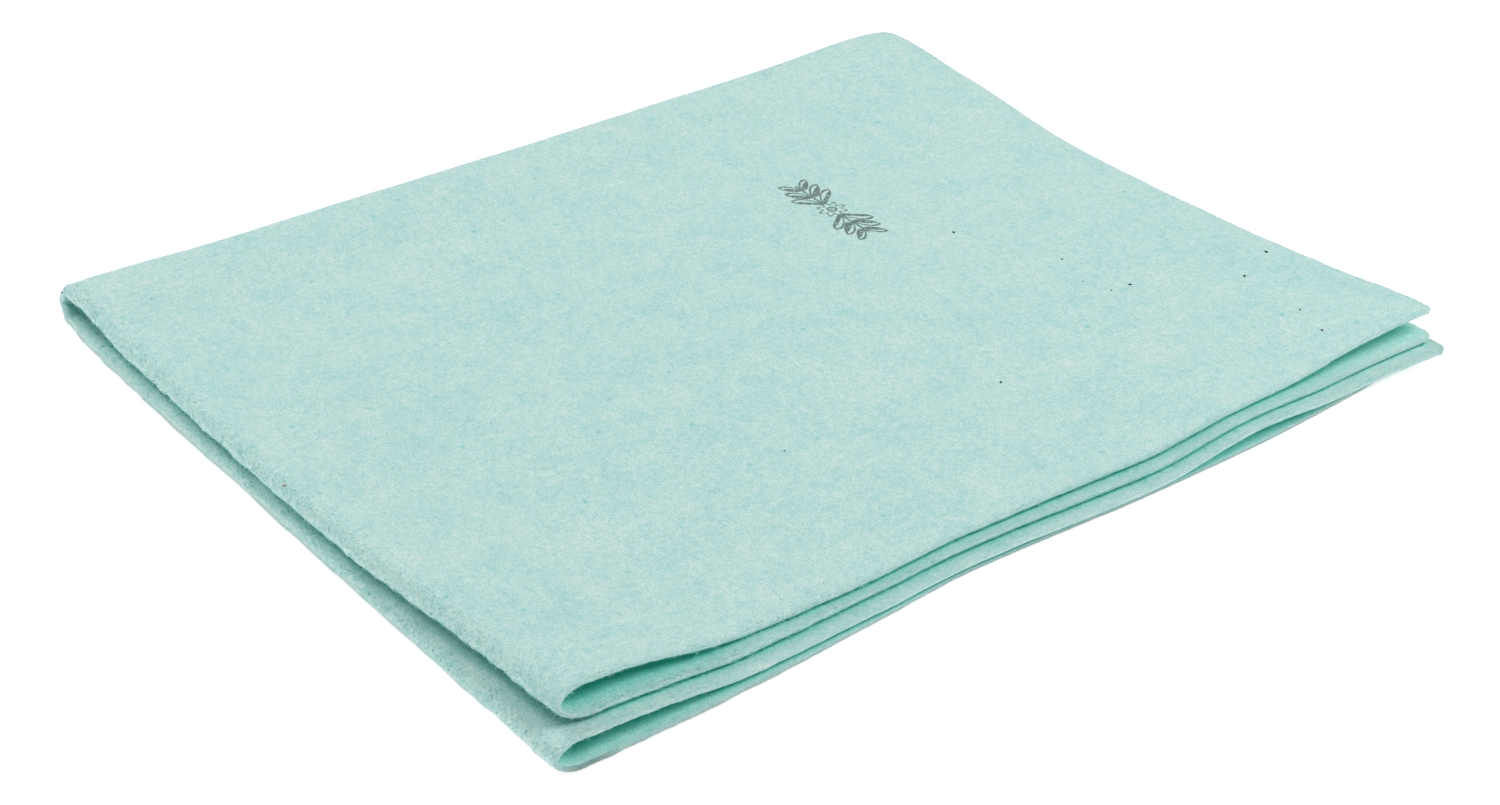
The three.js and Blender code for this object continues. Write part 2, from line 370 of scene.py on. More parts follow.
def layerHeights(x, y, turnCentre):
    # middle surfaces of the four layers over x, y
    crease = creaseAt(y)
    upperStart = crease["upperX"] + crease["upperNose"]
    lowerStart = crease["lowerX"] + crease["lowerNose"]
    upperX, lowerX = np.maximum(x, upperStart), np.maximum(x, lowerStart)
    turnAir = readRows(turnRows, "x", x, "air") * fade((turnCentre - y) / cloth["turnFade"])
    lowerAir = crease["lowerAir"] * fade((lowerX - lowerStart) / cloth["lowerFade"])
    upperAir = crease["upperAir"] * fade((upperX - upperStart) / cloth["upperFade"])
    step = cloth["thickness"] + cloth["air"]
    fourth = cloth["thickness"] / 2
    third = fourth + step + lowerAir + swellUnder(3, lowerX, y)
    second = third + step + turnAir + swellUnder(2, upperX, y)
    first = second + step + upperAir + swellUnder(1, upperX, y)
    return first, second, third, fourth


def sheetPoint(a, b):
    # the sheet's middle surface
    share = cloth["foldShare"]
    creaseTurn = np.clip(a / share, -1, 1) * pi / 2
    outerness = (1 - np.sin(creaseTurn)) / 2
    across = np.maximum(np.abs(a) - share, 0) / (1 - share)
    turn = np.clip(b / share, -1, 1) * pi / 2
    lowness = (1 + np.sin(turn)) / 2
    along = np.maximum(np.abs(b) - share, 0) / (1 - share)

    def pickLayer(read):
        upper = mix(read("layer2"), read("layer1"), outerness)
        return mix(upper, mix(read("layer3"), read("layer4"), outerness), lowness)

    roughX = mix(-cloth["halfWidth"], cloth["halfWidth"], across)
    toOpenEnd = np.maximum(cloth["turnEndRound"] - (1 - across) * 2 * cloth["halfWidth"], 0)
    drawnBack = cloth["turnEndRound"] - np.sqrt(cloth["turnEndRound"] ** 2 - toOpenEnd**2)
    turnCentre = readRows(turnRows, "x", roughX, "y") - cloth["outerTurn"]
    turnCentre = turnCentre - cloth["turnDrawnBack"] * drawnBack
    roughY = mix(turnCentre, -cloth["halfDepth"], along)
    crease = creaseAt(roughY)
    flatNose = mix(crease["upperNose"], crease["lowerNose"], lowness)
    turnNose = noseDepth((cloth["outerTurn"] - cloth["innerTurn"]) / 2)
    nose = mix(flatNose, turnNose, np.cos(turn))
    noseX = mix(crease["upperX"], crease["lowerX"], lowness) + nose * (1 - np.cos(creaseTurn))

    cornerRadius = pickLayer(lambda layer: cornerRound[layer])
    toCorner = np.maximum(cornerRadius - (1 - along) * 2 * cloth["halfDepth"], 0)
    cutBack = cornerRadius - np.sqrt(np.maximum(cornerRadius**2 - toCorner**2, 0))
    openX = pickLayer(lambda layer: readRows(openRows, "y", roughY, layer)) - cutBack
    x = mix(noseX, openX, across)

    turnDepth = mix(cloth["innerTurn"], cloth["outerTurn"], outerness)
    turnY = turnCentre + turnDepth * np.cos(turn)
    y = mix(turnY, pickLayer(lambda layer: readRows(frontRows, "x", x, layer)), along)

    first, second, third, fourth = layerHeights(x, y, turnCentre)
    z = mix(mix(second, first, outerness), mix(third, fourth, outerness), lowness)
    return np.stack([x, y, z], -1)


def unit(vectors):
    return vectors / np.maximum(np.linalg.norm(vectors, axis=-1, keepdims=True), tiny)


def stations(before, fold, after):
    # values from -1 to 1, closer together at the folds and the cut edges
    def crowded(cells):
        s = np.arange(cells + 1) / cells
        return mix(s, (1 - np.cos(pi * s)) / 2, meshCells["crowding"])

    share = cloth["foldShare"]
    lead = -1 + (1 - share) * crowded(before["cells"])
    middle = share * (2 * np.arange(fold["cells"] + 1) / fold["cells"] - 1)
    tail = share + (1 - share) * crowded(after["cells"])
    return np.concatenate([lead[:-1], middle, tail[1:]])


def picked(before, fold, after, step):
    # which stations a face uses, with some close to each cut edge
    ends = np.cumsum([0, before["cells"], fold["cells"], after["cells"]])
    last = int(ends[-1])
    chosen = {last}
    for n in meshCells["nearEdge"]:
        chosen.update((n, last - n))
    for start, end, part in zip(ends[:-1], ends[1:], (before, fold, after)):
        chosen.update(range(int(start), int(end), part[step]))
    return sorted(chosen)


def makeCloth():
    parts = meshCells
    acrossParts = (parts["outerAcross"], parts["crease"], parts["innerAcross"])
    alongParts = (parts["upperAlong"], parts["turn"], parts["lowerAlong"])
    aValues, bValues = stations(*acrossParts), stations(*alongParts)
    foldA, foldB = int(np.argmin(np.abs(aValues))), int(np.argmin(np.abs(bValues)))
    middle = sheetPoint(aValues[:, None], bValues[None, :])
    alongA = unit(np.gradient(middle, aValues, axis=0))
    alongB = unit(np.gradient(middle, bValues, axis=1))
    normal = unit(np.cross(alongB, alongA))

    stepsA = np.linalg.norm(np.diff(middle, axis=0), axis=-1)
    u = np.concatenate([np.zeros((1, len(bValues))), np.cumsum(stepsA, 0)], 0)
    stepsB = np.linalg.norm(np.diff(middle, axis=1), axis=-1)
    v = np.concatenate([np.zeros((len(aValues), 1)), np.cumsum(stepsB, 1)], 1)
    endU, endV = u[-1:, :] - u, v[:, -1:] - v
    fromFoldU, fromFoldV = u - u[foldA : foldA + 1, :], v - v[:, foldB : foldB + 1]

    def edgeShift(along, distance, edge):
        return layeredNoise(edgeWaves, along, edgeLanes[edge]) * bell(distance / cloth["edgeReach"])

    shiftA = edgeShift(v, endU, "innerEnd") - edgeShift(v, u, "outerEnd")
    shiftB = edgeShift(u, endV, "lowerEdge") - edgeShift(u, v, "upperEdge")
    inPlane = alongA * shiftA[..., None] + alongB * shiftB[..., None]

    dent = 0
    for c in crumples:
        du, dv = fromFoldU - c["across"], fromFoldV - c["along"]
        turn = radians(c["turn"])
        lengthwise = du * np.cos(turn) + dv * np.sin(turn)
        crosswise = dv * np.cos(turn) - du * np.sin(turn)
        dent = dent + c["depth"] * bell(lengthwise / c["length"]) * bell(crosswise / c["width"])

    toEdge = np.minimum(np.minimum(u, endU), np.minimum(v, endV))
    thinned = 1 - cloth["edgeThinning"] * bell(toEdge / cloth["edgeThinReach"])
    halfThickness = cloth["thickness"] / 2 * thinned

    tufts = layeredNoise(foldTufts, u, v)
    tufts = tufts * (1 - bell(toEdge / cloth["tuftFromEdge"]))
    tufts = {"top": tufts * bell(fromFoldU / cloth["tuftReach"]), "back": 0}

    faces = {}
    for side, sign in (("top", 1), ("back", -1)):
        hills = layeredNoise(unevenness, u, v, 0 if side == "top" else cloth["backSeedStep"])
        offset = sign * (halfThickness + hills + tufts[side]) - dent
        faces[side] = middle + inPlane + normal * offset[..., None]

    onFolds = bell(fromFoldU / fuzz["creaseReach"]) + fuzz["turn"] * bell(fromFoldV / fuzz["turnReach"])
    onEdges = fuzz["longEdges"] * bell(np.minimum(v, endV) / fuzz["edgeReach"])
    onEdges = np.maximum(onEdges, fuzz["shortEdges"] * bell(np.minimum(u, endU) / fuzz["edgeReach"]))
    hairiness = {"top": fuzz["openFace"] + onFolds + onEdges, "back": onEdges}

    lastA, lastB = len(aValues) - 1, len(bValues) - 1
    points, flat, hairy = [], [], []
    number = {}

    def vertex(side, i, j):
        if (side, i, j) not in number:
            number[side, i, j] = len(points)
            points.append(faces[side][i, j])
            flat.append((u[i, j], v[i, j] + (0 if side == "top" else cloth["backOffset"])))
            hairy.append(hairiness[side][i, j])
        return number[side, i, j]

    polygons = []
    for side in ("top", "back"):
        columns = picked(*acrossParts, side + "Step")
        rows = picked(*alongParts, side + "Step")
        for i0, i1 in zip(columns[:-1], columns[1:]):
            for j0, j1 in zip(rows[:-1], rows[1:]):
                left = range(j0, j1) if i0 == 0 else (j0,)
                far = range(i0, i1) if j1 == lastB else (i0,)
                right = range(j1, j0, -1) if i1 == lastA else (j1,)
                near = range(i1, i0, -1) if j0 == 0 else (i1,)
                ring = [(i0, j) for j in left] + [(i, j1) for i in far]
                ring += [(i1, j) for j in right] + [(i, j0) for i in near]
                ring = [vertex(side, i, j) for i, j in ring]
                polygons.append(ring if side == "top" else ring[::-1])

    loop = [(0, j) for j in range(lastB)] + [(i, lastB) for i in range(lastA)]
    loop += [(lastA, j) for j in range(lastB, 0, -1)] + [(i, 0) for i in range(lastA, 0, -1)]
    loopA, loopB = np.array(loop).T
    outU = (loopA == lastA).astype(int) - (loopA == 0)
    outV = (loopB == lastB).astype(int) - (loopB == 0)
    outward = unit(alongA[loopA, loopB] * outU[:, None] + alongB[loopA, loopB] * outV[:, None])
    levels = parts["rimLevels"]
    loopFlat = np.stack([u[loopA, loopB], v[loopA, loopB]], -1)
    rimOut = np.stack([outU, outV], -1) * cloth["rimHeight"]
    rim = [[vertex("top", i, j) for i, j in loop]]
    upperLine, lowerLine = faces["top"][loopA, loopB], faces["back"][loopA, loopB]
    run = np.concatenate([[0], np.cumsum(np.linalg.norm(np.diff(upperLine, axis=0), axis=1))])
    for level in range(1, levels):
        s = level / levels
        ragged = sum(layeredNoise([wave], run, level * wave["step"]) for wave in rimWaves)
        bulge = cloth["edgeBulge"] * np.sqrt(1 - (2 * s - 1) ** 2) + ragged
        line = mix(upperLine, lowerLine, s) + outward * bulge[:, None]
        start = len(points)
        points.extend(line)
        flat.extend(loopFlat + rimOut * s)
        hairy.extend(onEdges[i, j] for i, j in loop)
        rim.append(list(range(start, start + len(loop))))
    rim.append([vertex("back", i, j) for i, j in loop])
    for upper, lower in zip(rim[:-1], rim[1:]):
        for k in range(len(loop)):
            after = (k + 1) % len(loop)
            polygons.append([upper[after], upper[k], lower[k], lower[after]])

    points = np.array(points)
    hairy = np.array(hairy) * (points[:, 2] - points[:, 2].min() > fuzz["lowest"])
    foldX = middle[..., 0].min() - cloth["thickness"] / 2
    foldY = middle[..., 1].max() + cloth["thickness"] / 2
    seat = np.array([cadLow.x / mm - foldX, cadHigh.y / mm - foldY, cadLow.z / mm - points[:, 2].min()])
    points += seat

    mesh = bpy.data.meshes.new("floorCloth")
    mesh.from_pydata((points * mm).tolist(), [], polygons)
    mesh.shade_smooth()
    layer = mesh.uv_layers.new(name="flatCloth")
    loopVertices = np.zeros(len(mesh.loops), np.int32)
    mesh.loops.foreach_get("vertex_index", loopVertices)
    cornerFlat = np.array(flat)[loopVertices]
    lastRing = cornerFlat[-4 * len(loop) :].reshape(-1, 4, 2)  # it ends beside the rim, not on the back face
    lastRing[:, 2] = loopFlat + rimOut
    lastRing[:, 3] = np.roll(loopFlat + rimOut, -1, axis=0)
    layer.uv.foreach_set("vector", (cornerFlat * mm).astype(np.float32).ravel())
    bakeFlat = (cornerFlat + cloth["bakeMargin"]) / cloth["bakeSpan"]
    mesh.uv_layers.new(name="OFBake").uv.foreach_set("vector", bakeFlat.astype(np.float32).ravel())
    mesh.uv_layers.active = layer
    mesh.attributes.new("hairy", "FLOAT", "POINT").data.foreach_set("value", hairy.astype(np.float32))
    piece = bpy.data.objects.new("floorCloth", mesh)
    bpy.context.scene.collection.objects.link(piece)
    print("cloth", len(points), "points", sum(len(p) - 2 for p in polygons), "triangles")
    return piece, seat


floorCloth, clothSeat = makeCloth()


# felt finish, with painted shade in its folds and by the floor: lengths in millimetres, colours linear

felt = {
    "dye": (0.458, 0.681, 0.648),
    "creaseAt": 300.0,  # the first fold, on the flat cloth
    "creaseReach": 10.0,
    "outerFaceEnd": 510.0,  # the second face is laid out beyond this
    "lowerHalfAt": 772.0,  # and its lower half beyond this
    "cornerFrom": 210.0,  # distance from the first fold
    "cornerTo": 290.0,
    "contactFrom": 0.2,  # height above the floor from which the painted contact shade on the felt's lowest edge fades
    "contactReach": 2.1,  # and height at which that painted shade has faded
    "contactReachAtFold": 4.8,  # the same by the first fold
    "contactShadeTint": (0.32, 0.40, 0.38, 1),
    "speckleFrom": 0.52,  # pale fibre ends, painted lighter than the painted shade of the folds, show where their noise is over this
    "speckleTo": 0.70,
    "speckleShut": 0.1,  # how open a place is where they are clearest
    "speckleOpen": 0.75,  # and where there are none left
    "speckleShare": 0.45,
    "speckleUnshadedDye": (0.36, 0.66, 0.61, 1),
    "shadeReach": 12.0,  # how far the painted shade looks for what stands over the felt
    "shadeSamples": 6,
    "cloudTint": (1.0, 0.28, 0.33),  # how much of a cloud's change each of red, green and blue takes
    "grainTint": (1.0, 0.37, 0.43),
    "cloudRoughness": 1.0,
    "noiseMiddle": 0.5,
    "nepSize": 11.0,  # width of the cells that may hold a small knot of fibres
    "nepCore": 0.02,  # from a knot's middle to its rim, as a share of the cell
    "nepRim": 0.10,
    "nepFrom": 0.80,  # share of the cells that hold none
    "nepShare": 0.75,
    "nepDye": (0.16, 0.56, 0.48, 1),
    "bumpHeight": 0.22,
    "bumpStrength": 0.55,
    "fibreRelief": 0.35,  # share that the long fibres have in the bumps
    "grainLow": 0.3,
    "grainHigh": 0.7,
    "roughLow": 0.86,
    "roughHigh": 0.98,
    "specular": 0.12,
    "sheen": 0.40,
    "sheenRoughness": 0.45,
    "sheenTint": (0.92, 0.97, 0.96, 1),
}

# the felt's fine noises: long fibres, the grain of its surface, worn ink and pale fibre ends
feltNoises = {
    "fibres": {
        "size": 1.5,
        "detail": 2.0,
        "roughness": 0.6,
        "distortion": 1.6,
        "kind": "RIDGED_MULTIFRACTAL",
    },
    "grain": {"size": 0.8, "detail": 3.0, "roughness": 0.75, "distortion": 0.6},
    "wear": {"size": 0.9, "detail": 2.0, "roughness": 0.7},
    "speckle": {"size": 1.1, "detail": 1.0, "roughness": 0.7},
}

# painted shade: how the felt's colour is made darker and tealer where less light gets in, from shut to open:
# on the inner faces, inside the lower half of the first fold, on the outer face by it, and on the inner
# faces far from it
foldShadeTints = [
    {
        "open": 0.0,
        "inner": (0.02, 1.4, 1.2, 1),
        "lower": (0.06, 1.2, 1.05, 1),
        "crease": (0.08, 0.5, 0.46, 1),
        "corner": (0.08, 1.2, 1.05, 1),
    },
    {
        "open": 0.15,
        "inner": (0.15, 1.06, 0.94, 1),
        "lower": (0.25, 1.12, 1.0, 1),
        "crease": (0.18, 0.58, 0.53, 1),
        "corner": (0.36, 1.16, 1.04, 1),
    },
    {
        "open": 0.35,
        "inner": (0.46, 0.97, 0.9, 1),
        "lower": (0.64, 1.07, 1.0, 1),
        "crease": (0.4, 0.7, 0.66, 1),
        "corner": (0.88, 1.13, 1.08, 1),
    },
    {
        "open": 0.6,
        "inner": (0.68, 0.99, 0.96, 1),
        "lower": (0.84, 1.06, 1.04, 1),
        "crease": (0.71, 0.85, 0.83, 1),
        "corner": (1.03, 1.09, 1.06, 1),
    },
    {
        "open": 0.85,
        "inner": (0.9, 1.02, 1.0, 1),
        "lower": (0.97, 1.04, 1.03, 1),
        "crease": (0.95, 0.97, 0.97, 1),
        "corner": (1.02, 1.03, 1.02, 1),
    },
    {
        "open": 0.98,
        "inner": (1, 1, 1, 1),
        "lower": (1, 1, 1, 1),
        "crease": (1, 1, 1, 1),
        "corner": (1, 1, 1, 1),
    },
]

# the same painted shade for the loose fibres
fibreShadeTints = [
    {"open": 0.0, "tint": (0.08, 1.2, 1.05, 1)},
    {"open": 0.2, "tint": (0.30, 1.05, 0.96, 1)},
    {"open": 0.4, "tint": (0.74, 1.0, 0.96, 1)},
    {"open": 0.65, "tint": (1, 1, 1, 1)},
]

# dye clouds and finer grain: how wide each noise is and how much it changes the colour
dyeClouds = [
    {"size": 90.0, "detail": 0.0, "strength": -0.05},
    {"size": 30.0, "detail": 2.0, "strength": 0.27},
    {"size": 10.0, "detail": 1.0, "strength": 0.24},
    {"size": 4.0, "detail": 1.0, "strength": 0.22},
]
dyeGrain = [
    {"size": 2.0, "detail": 1.0, "strength": 0.41},
    {"size": 0.6, "detail": 0.0, "strength": 0.62},
]

# the printed sprig: a rosette with a leafy branch on each side, all from one repeated leaf
sprig = {
    "fromCutEnd": 90.5,  # place of its middle on the flat cloth
    "fromFrontEdge": 156.5,
    "ink": (0.07, 0.12, 0.105, 1),
    "inkShare": 0.92,
    "line": 0.30,  # half the width of a drawn line
    "soft": 0.18,
    "branchStart": 4.6,
    "branchEnd": 16.6,
    "leafPitch": 5.4,
    "leafTurn": 50,  # degrees off the stem
    "leafLength": 9.4,
    "leafHalfWidth": 1.9,
    "leafTaper": 0.30,  # how much of its length the last leaf has lost
    "veinThinning": 0.12,  # how much thinner than the outline a leaf's vein is
    "veinEnd": 0.72,  # share of the leaf that it runs through
    "overrun": 1.6,  # of the leaves and the stem past the branch's ends
    "petals": 8,
    "petalRadius": 3.6,
    "petalDepth": 0.85,
    "eyeRadius": 1.3,
    "beadCore": 0.15,
    "wearFrom": 0.34,  # the ink is worn where its noise is under this
    "wearTo": 0.48,
    "wornShare": 0.4,  # ink left where it is worn
}


class NodeWriter:
    # builds one tree's nodes, each from its kind and what feeds its inputs
    def __init__(self, tree, family="ShaderNode"):
        self.tree = tree
        self.family = family

    def add(self, kind, inputs=None, **settings):
        node = self.tree.nodes.new(kind if "Node" in kind else self.family + kind)
        for name, value in settings.items():
            setattr(node, name, value)
        for name, value in (inputs or {}).items():
            self.feed(node.inputs[name], value)
        return node

    def feed(self, socket, value):
        if isinstance(value, bpy.types.NodeSocket):
            self.tree.links.new(value, socket)
        else:
            socket.default_value = value

    def math(self, operation, *values):
        node = self.tree.nodes.new("ShaderNodeMath")
        node.operation = operation
        for socket, value in zip(node.inputs, values):
            self.feed(socket, value)
        return node.outputs[0]

    def vector(self, operation, inputs):
        return self.add("ShaderNodeVectorMath", inputs, operation=operation).outputs[0]

    def mixColour(self, share, first, second):
        inputs = {0: share, 6: first, 7: second}  # 6, 7 and output 2 are the node's colour sockets
        return self.add("ShaderNodeMix", inputs, data_type="RGBA").outputs[2]

    def named(self, attribute):
        return self.add("InputNamedAttribute", {"Name": attribute}, data_type="FLOAT").outputs[0]

    def randomVector(self, low, high, seed):
        inputs = {0: low, 1: high, "Seed": seed}
        return self.add("FunctionNodeRandomValue", inputs, data_type="FLOAT_VECTOR").outputs[0]

    def spread(self, value, low, high, toLow=0.0, toHigh=1.0, smooth=False):
        inputs = {"Value": value, "From Min": low, "From Max": high, "To Min": toLow, "To Max": toHigh}
        kind = "SMOOTHSTEP" if smooth else "LINEAR"
        return self.add("MapRange", inputs, interpolation_type=kind).outputs["Result"]

    def ramp(self, value, rows, key, column):
        node = self.add("ValToRGB", {0: value})
        stops = node.color_ramp.elements
        for row in rows[1:-1]:
            stops.new(row[key])
        for stop, row in zip(stops, rows):
            stop.position = row[key]
            stop.color = row[column]
        return node.outputs["Color"]

    def noise(self, place, size, detail, roughness, distortion=0.0, kind="FBM"):
        inputs = {"Vector": place, "Scale": 1 / size, "Detail": detail, "Roughness": roughness}
        inputs["Distortion"] = distortion
        return self.add("TexNoise", inputs, noise_dimensions="2D", noise_type=kind).outputs["Fac"]


def sprigInk(maker, u, v, wear):
    # how much ink lies at a place on the flat cloth, from 0 to 1
    math = maker.math
    x = math("ABSOLUTE", math("SUBTRACT", u, sprig["fromCutEnd"]))
    y = math("ABSOLUTE", math("SUBTRACT", v, sprig["fromFrontEdge"]))

    def drawn(distance):
        return maker.spread(distance, sprig["line"], sprig["line"] + sprig["soft"], 1.0, 0.0, smooth=True)

    turn = radians(sprig["leafTurn"])
    slid = math("SUBTRACT", math("SUBTRACT", y, sprig["branchStart"]), math("MULTIPLY", x, 1 / np.tan(turn)))
    number = math("MAXIMUM", math("ROUND", math("DIVIDE", slid, sprig["leafPitch"])), 0.0)
    offAxis = math("SUBTRACT", slid, math("MULTIPLY", number, sprig["leafPitch"]))
    across = math("MULTIPLY", math("ABSOLUTE", offAxis), np.sin(turn))
    branchLength = sprig["branchEnd"] - sprig["branchStart"]
    lastLeaf = branchLength / sprig["leafPitch"]
    shrink = math("SUBTRACT", 1.0, math("MULTIPLY", number, sprig["leafTaper"] / lastLeaf))
    fromStem = math("MULTIPLY", x, 1 / np.sin(turn))
    along = math("DIVIDE", fromStem, math("MULTIPLY", shrink, sprig["leafLength"]))
    swell = math("MULTIPLY", along, math("SUBTRACT", 1.0, along))
    swell = math("MULTIPLY", swell, 4 * sprig["leafHalfWidth"])
    swell = math("MULTIPLY", swell, shrink)
    outline = drawn(math("ABSOLUTE", math("SUBTRACT", across, swell)))
    vein = drawn(math("ADD", across, sprig["veinThinning"]))
    vein = math("MULTIPLY", vein, math("LESS_THAN", along, sprig["veinEnd"]))
    shaded = math("MULTIPLY", math("LESS_THAN", across, swell), math("LESS_THAN", offAxis, 0.0))
    leaf = math("MAXIMUM", math("MAXIMUM", outline, vein), shaded)
    leaf = math("MULTIPLY", leaf, math("LESS_THAN", along, 1.0))
    pastBranch = math("SUBTRACT", slid, branchLength)
    leaf = math("MULTIPLY", leaf, math("LESS_THAN", pastBranch, sprig["overrun"]))
    leaf = math("MULTIPLY", leaf, math("GREATER_THAN", slid, -sprig["overrun"]))

    stem = math("MULTIPLY", drawn(x), math("LESS_THAN", y, sprig["branchEnd"] + sprig["overrun"]))
    stem = math("MULTIPLY", stem, math("GREATER_THAN", y, sprig["petalRadius"]))

    radius = math("SQRT", math("ADD", math("MULTIPLY", x, x), math("MULTIPLY", y, y)))
    wave = math("COSINE", math("MULTIPLY", math("ARCTAN2", x, y), sprig["petals"]))
    rim = math("ADD", math("MULTIPLY", wave, sprig["petalDepth"]), sprig["petalRadius"])
    rosette = drawn(math("ABSOLUTE", math("SUBTRACT", radius, rim)))
    eye = drawn(math("ABSOLUTE", math("SUBTRACT", radius, sprig["eyeRadius"])))
    bead = drawn(math("SUBTRACT", radius, sprig["beadCore"]))
    flower = math("MAXIMUM", rosette, math("MAXIMUM", eye, bead))

    shape = math("MAXIMUM", math("MAXIMUM", leaf, stem), flower)
    inkLeft = maker.spread(wear, sprig["wearFrom"], sprig["wearTo"], sprig["wornShare"], 1.0)
    return math("MULTIPLY", shape, inkLeft)


def newMaterial(name):
    material = bpy.data.materials.new(name)
    material.use_nodes = True
    return material, NodeWriter(material.node_tree), material.node_tree.nodes["Principled BSDF"]


def makeFelt():
    material, maker, shader = newMaterial("felt")
    flat = maker.add("UVMap", uv_map="flatCloth").outputs[0]
    flat = maker.vector("SCALE", {0: flat, "Scale": 1 / mm})
    split = maker.add("SeparateXYZ", {0: flat})
    u, v = split.outputs["X"], split.outputs["Y"]

    def dyed(rows, tint, base):
        # the base colour made paler and deeper by a sum of noises
        change = 0.0
        for row in rows:
            noise = maker.noise(flat, row["size"], row["detail"], felt["cloudRoughness"])
            swing = maker.math("SUBTRACT", noise, felt["noiseMiddle"])
            change = maker.math("MULTIPLY_ADD", swing, row["strength"], change)
        factors = {i: maker.math("MULTIPLY_ADD", change, part, 1.0) for i, part in enumerate(tint)}
        return maker.vector("MULTIPLY", {0: maker.add("CombineXYZ", factors).outputs[0], 1: base})

    colour = dyed(dyeGrain, felt["grainTint"], dyed(dyeClouds, felt["cloudTint"], felt["dye"]))
    fibres = maker.noise(flat, **feltNoises["fibres"])

    neps = maker.add("TexVoronoi", {"Vector": flat, "Scale": 1 / felt["nepSize"]}, voronoi_dimensions="2D")
    pick = maker.add("SeparateColor", {0: neps.outputs["Color"]}).outputs[0]
    core = maker.spread(neps.outputs["Distance"], felt["nepCore"], felt["nepRim"], 1.0, 0.0, smooth=True)
    nep = maker.math("MULTIPLY", core, maker.spread(pick, felt["nepFrom"], 1.0, 0.0, felt["nepShare"]))
    colour = maker.mixColour(nep, colour, felt["nepDye"])

    ink = sprigInk(maker, u, v, maker.noise(flat, **feltNoises["wear"]))
    colour = maker.mixColour(maker.math("MULTIPLY", ink, sprig["inkShare"]), colour, sprig["ink"])

    # painted shade: the felt's colour is made darker and tealer where its own folds and layers shut out
    # light
    reach = {"Distance": felt["shadeReach"] * mm}
    occlusion = maker.add("AmbientOcclusion", reach, samples=felt["shadeSamples"], only_local=True)
    openness = occlusion.outputs["AO"]
    columns = ("inner", "lower", "crease", "corner")
    tint = {name: maker.ramp(openness, foldShadeTints, "open", name) for name in columns}
    fromCrease = maker.math("ABSOLUTE", maker.math("SUBTRACT", u, felt["creaseAt"]))
    creaseEnds = (felt["creaseReach"], 2 * felt["creaseReach"])
    nearCrease = maker.spread(fromCrease, *creaseEnds, 1.0, 0.0, smooth=True)
    onOuterFace = maker.math("LESS_THAN", v, felt["outerFaceEnd"])
    nearCorner = maker.spread(fromCrease, felt["cornerFrom"], felt["cornerTo"], 0.0, 1.0, smooth=True)
    nearCrease = maker.math("MULTIPLY", nearCrease, onOuterFace)
    onLowerHalf = maker.math("GREATER_THAN", v, felt["lowerHalfAt"])
    paintedShade = maker.mixColour(onLowerHalf, tint["inner"], tint["lower"])
    paintedShade = maker.mixColour(nearCorner, paintedShade, tint["corner"])
    paintedShade = maker.mixColour(nearCrease, paintedShade, tint["crease"])
    # painted contact shade: the felt is painted darker close to the floor, up to a greater height by the
    # first fold
    height = maker.add("SeparateXYZ", {0: maker.add("TexCoord").outputs["Object"]}).outputs["Z"]
    contactEnds = (felt["contactReach"] * mm, felt["contactReachAtFold"] * mm)
    contactEnd = maker.spread(nearCrease, 0.0, 1.0, *contactEnds)
    nearFloor = maker.spread(height, felt["contactFrom"] * mm, contactEnd, 1.0, 0.0, smooth=True)
    paintedShade = maker.mixColour(nearFloor, paintedShade, felt["contactShadeTint"])
    colour = maker.vector("MULTIPLY", {0: colour, 1: paintedShade})

    # pale fibre ends laid over the painted shade in the folds, so they stay lighter than the shade around
    # them
    speckle = maker.noise(flat, **feltNoises["speckle"])
    speckle = maker.spread(speckle, felt["speckleFrom"], felt["speckleTo"], 0.0, felt["speckleShare"])
    inPaintedShade = maker.spread(openness, felt["speckleShut"], felt["speckleOpen"], 1.0, 0.0)
    colour = maker.mixColour(maker.math("MULTIPLY", speckle, inPaintedShade), colour, felt["speckleUnshadedDye"])
    maker.feed(shader.inputs["Base Color"], colour)

    grain = maker.noise(flat, **feltNoises["grain"])
    rough = maker.spread(grain, felt["grainLow"], felt["grainHigh"], felt["roughLow"], felt["roughHigh"])
    maker.feed(shader.inputs["Roughness"], rough)
    relief = maker.math("ADD", maker.math("MULTIPLY", fibres, felt["fibreRelief"]), grain)
    bump = {"Height": relief, "Distance": felt["bumpHeight"] * mm, "Strength": felt["bumpStrength"]}
    maker.feed(shader.inputs["Normal"], maker.add("Bump", bump).outputs[0])
    feltLook = {
        "Specular IOR Level": felt["specular"],
        "Sheen Weight": felt["sheen"],
        "Sheen Roughness": felt["sheenRoughness"],
        "Sheen Tint": felt["sheenTint"],
    }
    setInputs(shader, feltLook)
    print("felt finish,", len(maker.tree.nodes), "nodes")
    return material


feltFinish = makeFelt()
floorCloth.data.materials.append(feltFinish)


# loose fibres and specks, scattered and set out by geometry nodes

fibre = {
    "dye": (0.50, 0.72, 0.69, 1),
    "palest": (0.66, 0.82, 0.79, 1),
    "patch": 3.0,
    "roughness": 0.95,
}
speck = {
    "dye": (0.012, 0.016, 0.015, 1),
    "palest": (0.04, 0.05, 0.048, 1),
    "brown": (0.42, 0.20, 0.09, 1),
    "patch": 0.3,
    "roughness": 0.8,
}

# what both finishes share: where their patches change shade, the rays for the fibres' painted shade, and how
# the light lies on them
patchy = {"from": 0.35, "to": 0.65, "detail": 1.0, "samples": 4, "specular": 0.1}

# how all scattered pieces are kept off the floor: the lowest height in millimetres, and no limit sideways
clearance = {"height": 0.05, "sideways": -10.0}

# a speck's other two measures as shares of its width, and the height in metres from which it drops
speckShape = {"length": 0.7, "flatness": 0.5, "dropFrom": 1.0, "seed": 3}

